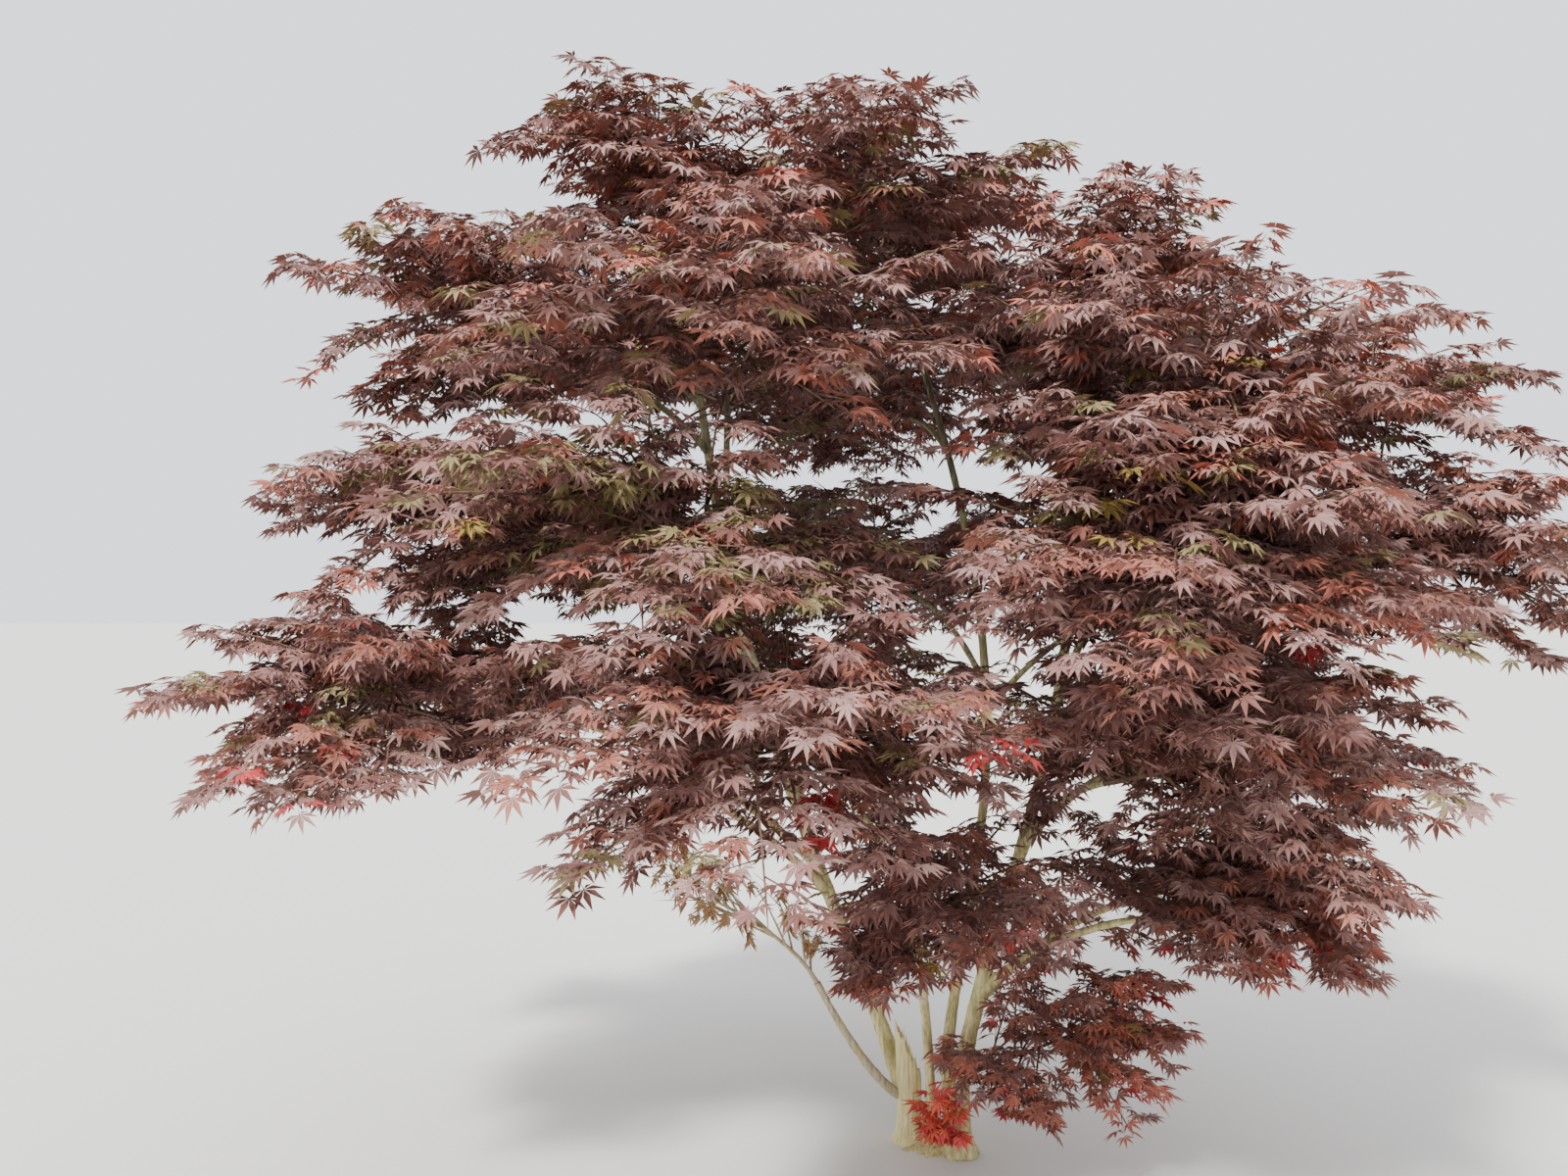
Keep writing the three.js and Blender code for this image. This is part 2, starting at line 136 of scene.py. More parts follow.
class Curve: # a Bezier curve that is read by its length
    def __init__(self, *corners):
        t = np.linspace(0, 1, 201)[:, None]
        level = [np.array(corner, float) * np.ones_like(t) for corner in corners]
        while len(level) > 1:
            level = [a * (1 - t) + b * t for a, b in zip(level, level[1:])]
        self.dense = level[0]
        self.run = np.concatenate([[0], np.cumsum(np.linalg.norm(np.diff(self.dense, axis=0), axis=1))])
        self.length = self.run[-1]

    def at(self, share):
        travelled = np.asarray(share) * self.length
        return np.stack([np.interp(travelled, self.run, self.dense[:, k]) for k in range(3)], -1)

    def heading(self, share):
        return unit(self.at(np.minimum(share + 0.005, 1)) - self.at(np.maximum(share - 0.005, 0)))


def unit(vector):
    return vector / np.linalg.norm(vector, axis=-1, keepdims=True)


def lerp(low, high, share):
    return low + (high - low) * share


def turn(vector, axis, angle): # about a unit axis
    return (vector * math.cos(angle) + np.cross(axis, vector) * math.sin(angle)
            + axis * np.dot(axis, vector) * (1 - math.cos(angle)))


def taper(thick, thin):
    return lambda share: thick + (thin - thick) * share ** 0.8


crown = {
    # each tier: its middle, how much it climbs to the left and to the back, the ring that its masses stand
    # on, their directions, half sizes and dip, and how wide their limblets fan at the foot and at the tip
    "tiers": [
        {"name": "top", "x": -200, "height": 2475, "climb": (0.37, 0.36), "ring": (500, 330),
         "azimuths": (180, 92, 352, 262), "half": (640, 580, 330), "dip": 4, "fan": (175, 50)},
        {"name": "upper", "x": -100, "height": 2140, "climb": (0.12, 0.1), "ring": (1110, 880),
         "azimuths": (350, 42, 96, 150, 200, 246, 298), "half": (660, 620, 350), "dip": 10, "fan": (150, 15)},
        {"name": "middle", "x": -50, "height": 1690, "climb": (0.06, 0), "ring": (1210, 1010),
         "azimuths": (340, 40, 95, 148, 196, 240, 288), "half": (660, 640, 340), "dip": 14, "fan": (150, 15)},
        {"name": "lower", "x": -320, "height": 1250, "climb": (0.06, 0), "ring": (1180, 940),
         "azimuths": (14, 96, 160, 206, 262, 310), "half": (660, 620, 330), "dip": 16, "fan": (150, 15)},
        {"name": "skirt", "x": 320, "height": 820, "climb": (0, 0), "ring": (530, 500),
         "azimuths": (232, 318, 20), "half": (480, 450, 310), "dip": 22, "fan": (150, 15)},
    ],
    "others": [ # masses outside the tiers: name, tier, middle, half sizes, direction, dip and fan
        ("skirt_foot", "foot", (300, -50, 400), (370, 330, 340), 350, 25, (150, 15)),
        ("base_sprouts", "sprouts", (-14, -62, 135), (95, 80, 105), 270, 0, (150, 15)),
        ("dead_spray", "dead", (-545, 0, 655), (330, 230, 260), 180, -20, (150, 15)),
    ],
    "held": { # these masses stay smaller than their solids
        "skirt_1": 0.88, "skirt_2": 0.86, "skirt_3": 0.95, "lower_4": 0.93, "middle_1": 0.9, "middle_5": 0.84,
        "upper_1": 0.84, "upper_4": 0.9, "upper_5": 0.88,
    },
    "heightWeight": 2.6, # heights count this much more than distances across
    "squareness": 2.7, # 2 is an ellipsoid, and more fills its corners
    "past": 25, "above": 15, # twigs end this far past the sides and the top of the solids' box
    "ground": 20, # and this high above the floor
    "seeds": (1000, 77), # the first mass's, and the step to the next
}

lowest = np.array(solidBox[0]) / mm * [1, 1, 0] + [-crown["past"], -crown["past"], crown["ground"]]
highest = np.array(solidBox[1]) / mm + [crown["past"], crown["past"], crown["above"]]


class Space: # what one mass keeps to: an ellipsoid, less what lies nearer another mass's centre
    def __init__(self, name, tier, centre, half, azimuth, dip, fan):
        angle, drop = math.radians(azimuth), math.radians(dip)
        out = np.array([math.cos(angle) * math.cos(drop), math.sin(angle) * math.cos(drop), -math.sin(drop)])
        side = np.array([-math.sin(angle), math.cos(angle), 0.0])
        self.name, self.tier, self.fan = name, tier, fan
        self.centre = np.array(centre, float)
        self.half = np.array(half, float) * crown["held"].get(name, 1.0)
        self.axes = np.array([out, side, np.cross(out, side)])

    def meet(self, others):
        centres = np.array([other.centre for other in others if other is not self])
        self.walls = unit((centres - self.centre) * [1, 1, crown["heightWeight"]])
        self.stops = ((centres + self.centre) / 2 * self.walls).sum(1)

    def holds(self, points, margin, mingle): # mingle is how far points may reach into a neighbour's part
        points = np.atleast_2d(points)
        shares = np.abs((points - self.centre) @ self.axes.T / (self.half - margin))
        inBox = ((points > lowest) & (points < highest)).all(1)
        inOutline = (shares ** crown["squareness"]).sum(1) <= 1
        inOwnPart = (points @ self.walls.T - self.stops).max(1) <= mingle
        return inBox & inOutline & inOwnPart

    def room(self, start, aim, most): # how far a straight line can run inside, to a step
        step = 12
        runs = np.arange(step, most + step, step)
        inside = self.holds(start + runs[:, None] * aim, growth["skin"], growth["mingle"])
        stop = len(runs) if inside.all() else int(np.argmin(inside))
        return float(runs[stop - 1]) if stop else 0.0

    def entry(self, towards): # where a limb that comes from there enters
        inward, margin = towards - self.centre, 30
        inward[2] = min(inward[2], 0)
        for reach in np.arange(1, 0, -0.02):
            if self.holds(self.centre + inward * reach, margin, -margin)[0]:
                return self.centre + inward * reach
        return self.centre.copy()


def layOutCrown():
    laid = []
    for tier in crown["tiers"]:
        for k, azimuth in enumerate(tier["azimuths"]):
            angle = math.radians(azimuth)
            x = tier["x"] + tier["ring"][0] * math.cos(angle)
            y = tier["ring"][1] * math.sin(angle)
            z = tier["height"] - tier["climb"][0] * x + tier["climb"][1] * y
            laid.append(Space(f"{tier['name']}_{k + 1}", tier["name"], (x, y, z), tier["half"], azimuth,
                              tier["dip"], tier["fan"]))
    laid += [Space(*values) for values in crown["others"]]
    for k, space in enumerate(laid):
        space.seed = crown["seeds"][0] + crown["seeds"][1] * k
        space.meet(laid)
    return {space.name: space for space in laid}


spaces = layOutCrown()
print("spaces", len(spaces))


class Heap: # corners and faces that end up in one mesh
    def __init__(self):
        self.corners, self.faces, self.count = [], [], 0

    def add(self, corners, faces):
        self.corners.append(corners)
        self.faces += [[k + self.count for k in face] for face in faces]
        self.count += len(corners)

    def piece(self, name, material, slot, nodes, smooth=True):
        mesh = bpy.data.meshes.new(name)
        mesh.from_pydata((np.concatenate(self.corners) * mm).tolist(), [], self.faces)
        mesh.validate()
        mesh.polygons.foreach_set("use_smooth", [smooth] * len(mesh.polygons))
        mesh.materials.append(material)
        made = bpy.data.objects.new(name, mesh)
        bpy.context.scene.collection.objects.link(made)
        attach(made, "root")
        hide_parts(*nodes)
        print("piece", name, len(mesh.polygons))


def ringFaces(rings, sides): # between rings of corners that follow each other
    return [(r * sides + a, r * sides + b, (r + 1) * sides + b, (r + 1) * sides + a)
            for r in range(rings - 1) for a, b in enumerate([*range(1, sides), 0])]


def tube(heap, points, radiusAt, sides, pointed=False, relief=None):
    points = np.asarray(points, float)
    ahead = unit(np.gradient(points, axis=0))
    normal = unit(np.cross(ahead[0], [0.3, 1.0, 0.2]))
    shares = np.linspace(0, 1, len(points))
    angles = np.arange(sides) / sides * 2 * math.pi
    rings = []
    for k, point in enumerate(points):
        normal = unit(normal - ahead[k] * np.dot(normal, ahead[k]))
        other = np.cross(ahead[k], normal)
        spokes = np.cos(angles)[:, None] * normal + np.sin(angles)[:, None] * other
        radius = radiusAt(shares[k])
        sizes = relief(point + spokes * radius, radius, angles) if relief else np.full(sides, radius)
        rings.append(point + spokes * sizes[:, None])
    corners = np.concatenate(rings)
    if pointed:
        corners[-sides:] = points[-1] + (corners[-sides:] - points[-1]) * 0.3
    faces = ringFaces(len(points), sides)
    faces.append(tuple(reversed(range(sides))))
    faces.append(tuple(range(len(corners) - sides, len(corners))))
    heap.add(corners, faces)


limbs = {
    "stems": { # radius at foot and tip, and the mass that each carries
        "right": {"foot": (40, 0, 0), "bends": [(-10, 0, 500), (430, 0, 1000)], "radius": (25, 9),
                  "carries": "top_3"},
        "left": {"foot": (-70, 120, 0), "bends": [(-150, 190, 430), (-650, 200, 1150)], "radius": (24, 9),
                 "carries": "top_1"},
        "back": {"foot": (12, 30, 110), "bends": [(-30, 100, 600), (400, 260, 1000)], "radius": (17, 8),
                 "carries": "top_2"},
        "front": {"foot": (-30, 50, 60), "bends": [(-50, 60, 500), (-90, -60, 800)], "radius": (15, 7),
                  "carries": "lower_5"},
    },
    "flare": {"wide": 1.15, "fade": 70, "lobes": 5, "depth": 0.16}, # of the stems that stand on the ground
    "bough": {
        "between": (0.12, 0.935), # the shares of a stem that boughs leave from
        "rise": 0.55, "lowest": 330, "heightCost": 2.2, # how the best place on the stems is chosen
        "share": 0.72, "thickest": 16, "tip": 8.5, # of the stem's radius, most, and at the tip
        "collar": (0.5, 45), # how much a foot swells, and how far along that fades
    },
    "dead": {"course": [(-80, 112, 105), (-190, 60, 150), (-345, 20, 455)], "radius": (15, 9)},
    "relief": {"stem": 0.07, "bough": 0.09, "dead": 0.12}, # of the radius
}


def barkRelief(strength, flared=False):
    def relief(points, radius, angles):
        sizes = []
        for point, angle in zip(points, angles):
            ridges = noise.noise(Vector((point[0] / 9, point[1] / 9, point[2] / 60)))
            lumps = noise.noise(Vector(point) / 55)
            size = radius * (1 + strength * ridges + 1.3 * strength * lumps)
            if flared:
                flare = limbs["flare"]
                near = math.exp(-max(point[2], 0) / flare["fade"])
                size += radius * near * (flare["wide"] + flare["depth"] * math.cos(flare["lobes"] * angle))
            sizes.append(size)
        return np.array(sizes)
    return relief


def stemCurve(stem):
    tip = spaces[stem["carries"]].entry(np.array(stem["bends"][-1], float))
    return Curve(stem["foot"], *stem["bends"], tip)


stemCurves = {name: stemCurve(stem) for name, stem in limbs["stems"].items()}
deadCurve = Curve(*limbs["dead"]["course"])


def boughCurve(space): # from the best place on the stems to the mass, with its radii
    rule, best = limbs["bough"], None
    for name, stem in limbs["stems"].items():
        for share in np.arange(*rule["between"], 0.01):
            start = stemCurves[name].at(share)
            far = math.hypot(*(space.centre - start)[:2])
            wanted = max(rule["lowest"], space.centre[2] - rule["rise"] * far)
            cost = far + rule["heightCost"] * abs(start[2] - wanted)
            if best is None or cost < best[0]:
                best = (cost, start, taper(*stem["radius"])(share))
    cost, start, stemRadius = best
    end = space.entry(start)
    bend = lerp(start, end, 0.45)
    bend[2] = end[2] - 0.2 * (end[2] - start[2])
    return Curve(start, bend, end), (min(rule["share"] * stemRadius, rule["thickest"]), rule["tip"])


growsFrom = {stem["carries"]: stemCurves[name] for name, stem in limbs["stems"].items()}
growsFrom["dead_spray"] = deadCurve
boughs = {}
for space in spaces.values():
    if space.name not in growsFrom and space.tier not in ("foot", "sprouts"):
        boughs[space.name] = boughCurve(space)
        growsFrom[space.name] = boughs[space.name][0]

# the low tones are the bark's own pale colour made paler still as painted sunlight, and the high tones are
# painted shade in the crown
barkTonesAndPaintedLight = {
    "low": ("978a58", "e4d9a0"), "high": ("4f4636", "8d8464"), "turns": (0.7, 1.7), # metres above the ground, between the painted sunlight low down and the painted shade in the crown
    "algae": "a3a56c", "flecks": "efe6ba",
}


def barkMaterial(): # pale and warm near the ground, partly painted sunlight, and darker and greyer up in the crown as painted shade
    shade = Shade("maple_bark")
    long = shade.grain((1, 1, 0.16), 90)
    patch = shade.grain((1, 1, 0.6), 9, 3.0)
    fine = shade.grain((1, 1, 0.3), 260, 2.0)
    # high is the share of painted crown shade, which grows with height
    high = shade.band(shade.height(), *barkTonesAndPaintedLight["turns"])
    streaks = shade.band(long, 0.35, 0.68)
    low = shade.mix(streaks, *[tint(text) for text in barkTonesAndPaintedLight["low"]])
    # this darker, greyer tone is painted shade for the bark up in the crown
    paintedCrownShade = shade.mix(streaks, *[tint(text) for text in barkTonesAndPaintedLight["high"]])
    colour = shade.mix(high, low, paintedCrownShade)
    colour = shade.mix(shade.band(patch, 0.5, 0.72) * 0.5, colour, tint(barkTonesAndPaintedLight["algae"]))
    colour = shade.mix(shade.band(fine, 0.58, 0.75) * (1 - high) * 0.5, colour, tint(barkTonesAndPaintedLight["flecks"]))
    return shade.surface(Base_Color=colour, Roughness=shade.band(patch, 0.2, 0.9) * 0.2 + 0.7,
                         Normal=shade.bump(long * 0.8 + fine * 0.3, 0.7))


bark = barkMaterial()


def makeStems():
    for name, stem in limbs["stems"].items():
        heap, curve, grounded = Heap(), stemCurves[name], stem["foot"][2] == 0
        points = curve.at(np.linspace(0, 1, int(curve.length / 11)))
        tube(heap, points, taper(*stem["radius"]), 22, relief=barkRelief(limbs["relief"]["stem"], grounded))
        heap.corners[0][:, 2] = np.maximum(heap.corners[0][:, 2], 0)
        heap.piece(f"stem_{name}_bark", bark, "bark", [f"stem_{name}"] + (["trunk"] if grounded else []))


def collared(radii, length): # a taper that swells where it leaves the stem
    plain, (swell, fade) = taper(*radii), limbs["bough"]["collar"]
    return lambda share: plain(share) * (1 + swell * math.exp(-share * length / fade))


def makeBoughs():
    heap = Heap()
    for curve, radii in boughs.values():
        points = curve.at(np.linspace(0, 1, max(int(curve.length / 22), 4)))
        tube(heap, points, collared(radii, curve.length), 11, relief=barkRelief(limbs["relief"]["bough"]))
    heap.piece("boughs_bark", bark, "bark", [f"bough_{name}" for name in boughs])


rootCrown = {
    "middle": (-18, 55), "long": 108, "broad": 90, "high": 48, "sides": 96, "rings": 26,
    "steepness": 0.7, # below 1 it is steep in the middle, and runs out flat to the roots
    "roots": 7, "ridges": 0.12, "lumps": 0.16,
}


def makeRootCrown():
    heap, corners, sides = Heap(), [], rootCrown["sides"]
    for ring in range(rootCrown["rings"]):
        lift = ring / (rootCrown["rings"] - 1)
        reach = 1 - lift ** rootCrown["steepness"]
        for k in range(sides):
            angle = k / sides * 2 * math.pi
            ridges = math.cos(rootCrown["roots"] * angle + 0.6)
            lumps = noise.noise(Vector((math.cos(angle) * 3, math.sin(angle) * 3, lift * 3)))
            rough = 0.86 + (rootCrown["ridges"] * ridges + rootCrown["lumps"] * lumps) * reach
            corners.append((rootCrown["middle"][0] + rootCrown["long"] * reach * rough * math.cos(angle),
                            rootCrown["middle"][1] + rootCrown["broad"] * reach * rough * math.sin(angle),
                            rootCrown["high"] * lift * (1 + 0.2 * lumps)))
    faces = ringFaces(rootCrown["rings"], sides)
    faces.append(tuple(reversed(range(sides))))
    heap.add(np.array(corners), faces)
    heap.piece("root_crown", bark, "bark", ["trunk"])


makeStems()
makeBoughs()
makeRootCrown()
print("limbs", len(boughs) + len(stemCurves))


def woodMaterial(name, dark, light, pale, size):
    shade = Shade(name)
    long = shade.grain((1, 1, 0.08), size)
    patch = shade.grain((1, 1, 1), 14, 3.0)
    colour = shade.mix(shade.band(long, 0.3, 0.7), tint(dark), tint(light))
    colour = shade.mix(shade.band(patch, 0.48, 0.7) * 0.7, colour, tint(pale))
    return shade.surface(Base_Color=colour, Roughness=shade.band(long, 0.2, 0.9) * 0.2 + 0.75,
                         Normal=shade.bump(long, 0.8))


# the broken wood is pale, and its tones are made paler still as painted sunlight
brokenWood = woodMaterial("broken_wood", "b8aa70", "efe5b0", "dccf8c", 150)
deadWood = woodMaterial("dead_wood", "85775f", "c9bd9f", "bda468", 120)

stump = {
    "foot": (-84, 102), "top": (-98, 94), "high": 322, "low": 190, "radius": (37, 31),
    "sides": 40, "rings": 30,
    "tear": 16, "rim": 0.55, "heart": 215, # how ragged the edge is, how far in it turns, the hollow's height
    "splinters": 34, "splinterLong": (48, 92), "splinterThick": (2.5, 5), "splinterTops": 338, "seed": 11,
}


def makeStump():
    heap, corners, random = Heap(), [], np.random.default_rng(stump["seed"])
    sides, rings, (footX, footY), (topX, topY) = stump["sides"], stump["rings"], stump["foot"], stump["top"]
    tears = random.uniform(-1, 1, sides)
    for ring in range(rings):
        for k in range(sides):
            angle = k / sides * 2 * math.pi
            slope = 0.5 - 0.5 * math.cos(angle) # high on the left, low on the right
            edge = lerp(stump["low"], stump["high"], slope) + stump["tear"] * tears[k]
            z = edge * (ring / (rings - 1)) ** 0.9
            share = z / stump["high"]
            rough = 1 + 0.06 * noise.noise(Vector((math.cos(angle) * 5, math.sin(angle) * 5, z / 70)))
            radius = lerp(*stump["radius"], share) * rough * (1 + 0.5 * math.exp(-z / 30))
            corners.append((lerp(footX, topX, share) + radius * math.cos(angle),
                            lerp(footY, topY, share) + radius * math.sin(angle), z))
    for x, y, z in corners[-sides:]: # the torn edge turns inwards and down to the heart of the wood
        corners.append((lerp(topX, x, stump["rim"]), lerp(topY, y, stump["rim"]),
                        z - 22 + 10 * random.uniform(-1, 1)))
    inner = rings * sides
    corners.append((topX, topY, stump["heart"]))
    faces = ringFaces(rings + 1, sides)
    faces += [(inner + k, inner + (k + 1) % sides, len(corners) - 1) for k in range(sides)]
    heap.add(np.array(corners), faces)
    for splinter in range(stump["splinters"]): # long splinters stand along the tear
        angle, far = random.uniform(0, 2 * math.pi), random.uniform(8, 27)
        slope = 0.5 - 0.5 * math.cos(angle) * far / 30
        foot = np.array([topX + far * math.cos(angle), topY + far * math.sin(angle),
                         lerp(stump["low"], stump["high"], slope) - 45])
        tip = foot + [random.uniform(-6, 3), random.uniform(-5, 5), random.uniform(*stump["splinterLong"])]
        tip[2] = min(tip[2], stump["splinterTops"])
        radiusAt = taper(random.uniform(*stump["splinterThick"]), 0.8)
        tube(heap, [foot, lerp(foot, tip, 0.6), tip], radiusAt, 4, pointed=True)
    heap.piece("torn_stump", brokenWood, "broken_wood", ["broken_stem"], smooth=False)


def makeDeadLimb():
    heap = Heap()
    points = deadCurve.at(np.linspace(0, 1, 60))
    tube(heap, points, taper(*limbs["dead"]["radius"]), 14, relief=barkRelief(limbs["relief"]["dead"]))
    heap.piece("dead_limb_bark", deadWood, "dead_wood", ["dead_limb"])


makeStump()
makeDeadLimb()
print("stump and dead limb")


leaf = {
    "size": 47, # from the foot of the blade to its tip
    # the lobes' turn from the middle one, their reach and half width, as shares of the size
    "lobes": [(0, 1.04, 0.13), (37, 0.97, 0.122), (76, 0.78, 0.108), (118, 0.42, 0.07)],
    "widest": 0.41, "droop": 0.23, "fold": 0.05, "stalk": 24,
    "smaller": 0.7, "larger": 1.16, # how much sizes differ
}


def leafShape(): # corners (across, ahead, over) and faces of a blade one unit long, its stalk behind it
    corners, faces = [(0, 0, 0)], []

    def spot(angle, reach, lift=0.0):
        a = math.radians(angle)
        corners.append((reach * math.sin(a), reach * math.cos(a), lift - leaf["droop"] * reach ** 2))
        return len(corners) - 1

    lobes = [(-angle, reach, wide) for angle, reach, wide in leaf["lobes"][1:]] + leaf["lobes"]
    for angle, reach, wide in lobes: # each lobe is two faces that meet in its vein
        out = leaf["widest"] * reach
        aside = math.degrees(math.atan2(wide, out))
        left = spot(angle - aside, math.hypot(out, wide), leaf["fold"])
        tip = spot(angle, reach)
        if abs(angle) > 100: # the lobes beside the stalk are one face each
            faces.append((0, left, tip))
            continue
        right = spot(angle + aside, math.hypot(out, wide), leaf["fold"])
        faces += [(0, left, tip), (0, tip, right)]
    base = len(corners)
    corners.extend([(-0.02, 0.03, 0), (0.02, 0.03, 0), (0, -leaf["stalk"] / leaf["size"], 0.06)])
    faces.append((base, base + 1, base + 2))
    return np.array(corners, float), np.array(faces)


bladeCorners, bladeFaces = leafShape()
print("leaf faces", len(bladeFaces))

growth = {
    "limblets": 30, "fuller": ("lower_5", "middle_7", "top_3"), "more": 12, # in each mass, and more in some
    "climb": (-0.55, 0.75), "upDown": (1, 1, -0.7), # of the limblets to the sides, and of those between
    "roomy": 130, "tries": 6, # a limblet is aimed again until it has this much room
    "longest": 780, "stub": 60, "shorter": (0.66, 0.82, 0.93, 1.0), # some stop short of the mass's outline
    "sag": (0.04, 0.16), "twigSag": (0.05, 0.2), # share of the length
    "spacing": 45, "bare": 0.18, # between the twigs of a limblet, and its share that has none
    "twig": (60, 210), # shortest and longest
    "pairs": 21, # between two pairs of leaves
    "spine": (9, 5), "limbletRadius": (4.6, 2.2), "twigRadius": (1.9, 0.9), # at foot and tip
    "spineEnd": 0.25, # how far past the mass's middle, as a share of its half length
    "pitch": (-0.3, 0.15, 0.9), # how steeply a leaf hangs: least, most often, most
    "mixed": 0.35, # share of leaf pairs in a spray's second tone
    "skin": 50, "mingle": 180, # twigs stay this far inside the outline, and reach this far into a neighbour
    "axis": (-180, 0, 0), # leaves turn outward from the line that stands here
}
thin = { # places where fewer twigs grow: middle, half sizes, share that is left out
    "heart": ((-200, 60, 1000), (500, 420, 600), 0.35),
    "window": ((-620, -100, 1850), (400, 1500, 140), 0.7),
    "clearing": ((-520, -100, 690), (300, 700, 250), 0.95),
}
toneShares = { # how many parts of a tier's sprays have each tone
    "top": (("maroon", 6), ("plum", 7), ("bronze", 2), ("redBrown", 8), ("mauve", 7), ("salmon", 2)),
    "upper": (("maroon", 6), ("plum", 8), ("bronze", 1), ("redBrown", 7), ("mauve", 7), ("salmon", 2.5)),
    "middle": (("maroon", 8), ("plum", 9), ("bronze", 1), ("redBrown", 5), ("mauve", 7), ("salmon", 1.2)),
    "lower": (("maroon", 6), ("plum", 10), ("bronze", 1), ("redBrown", 6), ("mauve", 6), ("crimson", 0.7)),
    # the skirt and foot take fewer dark and more light tones, as painted sunlight on these low sprays
    "skirt": (("maroon", 4), ("plum", 9), ("redBrown", 6), ("mauve", 7), ("salmon", 2), ("crimson", 0.5)),
    "foot": (("maroon", 1), ("plum", 3), ("redBrown", 4), ("salmon", 3), ("crimson", 0.5)),
}
tones = {
    "maroon": "785149", "plum": "916a63", "bronze": "877853", "redBrown": "9a6354", "mauve": "9b7871",
    "salmon": "b26a59", "crimson": "b54040", "gold": "978046",
}
toneRules = {
    "heart": ((-180, 0, 1500), (1750, 1450, 1250), 0.75), # painted shade in the crown's heart: inside this share of these half sizes
    "heartShade": (2.2, 0.5), # the parts of the dark maroon and plum are multiplied by this, and those of the others, as painted shade
    "olive": ((-650, -500, 1700), (420, 900, 260), 0.6), # where bronze sprays are common, and how common
    "gold": 0.004, # share of the sprays
}
families = {"top": "top", "upper": "upper", "middle": "middle", "lower": "low", "skirt": "low", "foot": "low"}
slots = {
    "top": "foliage_bronze", "upper": "foliage_red_brown",
    "middle": "foliage_purple", "low": "foliage_purple",
}

sprays = {} # (family, tone) -> lists of leaf places
twigHeaps = {family: Heap() for family in slots}


def plantLeaf(key, base, ahead, roll, size):
    sprays.setdefault(key, []).append((*base, *ahead, roll, size))


# opposite pairs of leaves along a twig, from the share first, and one leaf at its tip
def leafAlong(family, pair, random, curve, fullSize, first):
    count = max(int(curve.length * (1 - first) / growth["pairs"]), 1)
    outward = unit((curve.at(1.0) - growth["axis"]) * [1, 1, 0])
    for share in list(lerp(first, 0.97, (np.arange(count) + 0.5) / count)) + [1.0]:
        point, along = curve.at(share), curve.heading(share)
        side = unit(np.cross(along, up) + 1e-6)
        tone = pair[int(random.random() < growth["mixed"])]
        for hand in (0,) if share == 1.0 else (-1, 1):
            stalk = along * random.uniform(0.3, 1.1) + side * hand * random.uniform(0.6, 1.2)
            level = unit((unit(stalk) + outward * random.uniform(-0.2, 0.5)) * [1, 1, 0] + 1e-6)
            pitch = random.triangular(*growth["pitch"])
            ahead = level * math.cos(pitch) - up * math.sin(pitch)
            size = fullSize * random.uniform(leaf["smaller"], leaf["larger"])
            base = point + ahead * leaf["stalk"] * size / leaf["size"]
            plantLeaf((family, tone), base, ahead, random.uniform(-0.5, 0.5), size)


def isThinned(point, random):
    for middle, half, share in thin.values():
        if (((point - middle) / half) ** 2).sum() < 1 and random.random() < share:
            return True
    return False


def toneOf(space, point, random):
    choices = toneShares[space.tier]
    weights = np.array([weight for tone, weight in choices], float)
    # painted shade: the dark tones are commoner in the crown's heart
    middle, half, share = toneRules["heart"]
    commoner, rarer = toneRules["heartShade"]
    if np.linalg.norm((point - middle) / half) < share:
        weights *= [commoner if tone in ("maroon", "plum") else rarer for tone, weight in choices]
    middle, half, share = toneRules["olive"]
    if random.random() < math.exp(-(((point - middle) / half) ** 2).sum()) * share:
        return "bronze"
    if random.random() < toneRules["gold"]:
        return "gold"
    return choices[int(random.choice(len(choices), p=weights / weights.sum()))][0]


def growMass(space, scale=1.0, limblets=None, rootAt=None):
    random = np.random.default_rng(space.seed)
    out, side, rise = space.axes
    heap, parent = twigHeaps[families[space.tier]], growsFrom.get(space.name)
    begin = rootAt if rootAt is not None else parent.at(1.0)
    far = space.centre + out * space.half[0] * growth["spineEnd"]
    heading = parent.heading(1.0) if parent else unit(far - begin)
    spine = Curve(begin, begin + heading * np.linalg.norm(far - begin) * 0.45, far)
    tube(heap, spine.at(np.linspace(0, 1, 12)), taper(*(r * scale for r in growth["spine"])), 6)
    total = limblets or growth["limblets"] + (growth["more"] if space.name in growth["fuller"] else 0)
    for k in range(total):
        share = (k + 0.5) / total
        start, along = spine.at(share), spine.heading(share)
        along = unit(along - rise * np.dot(along, rise))
        fan = math.radians(lerp(*space.fan, share))
        hand = (-1, 1, 0)[k % 3] # to the sides in turn, and between them up or down
        for attempt in range(growth["tries"]):
            if hand:
                aim = turn(along, rise, hand * fan * random.uniform(0.6, 1.25))
                aim = unit(aim + rise * random.uniform(*growth["climb"]))
            else:
                aim = unit(rise * random.choice(growth["upDown"]) + along * random.uniform(-0.3, 1.1)
                           + side * random.uniform(-0.8, 0.8))
            room = space.room(start, aim, growth["longest"])
            if room > growth["roomy"]:
                break
        length = max(room * random.choice(growth["shorter"]), growth["stub"])
        sag = up * length * random.uniform(*growth["sag"])
        limblet = Curve(start, start + aim * length * 0.5 + sag * 0.8, start + aim * length - sag)
        radiusAt = taper(*(r * scale for r in growth["limbletRadius"]))
        tube(heap, limblet.at(np.linspace(0, 1, 8)), radiusAt, 4, pointed=True)
        growTwigs(space, random, limblet, scale)


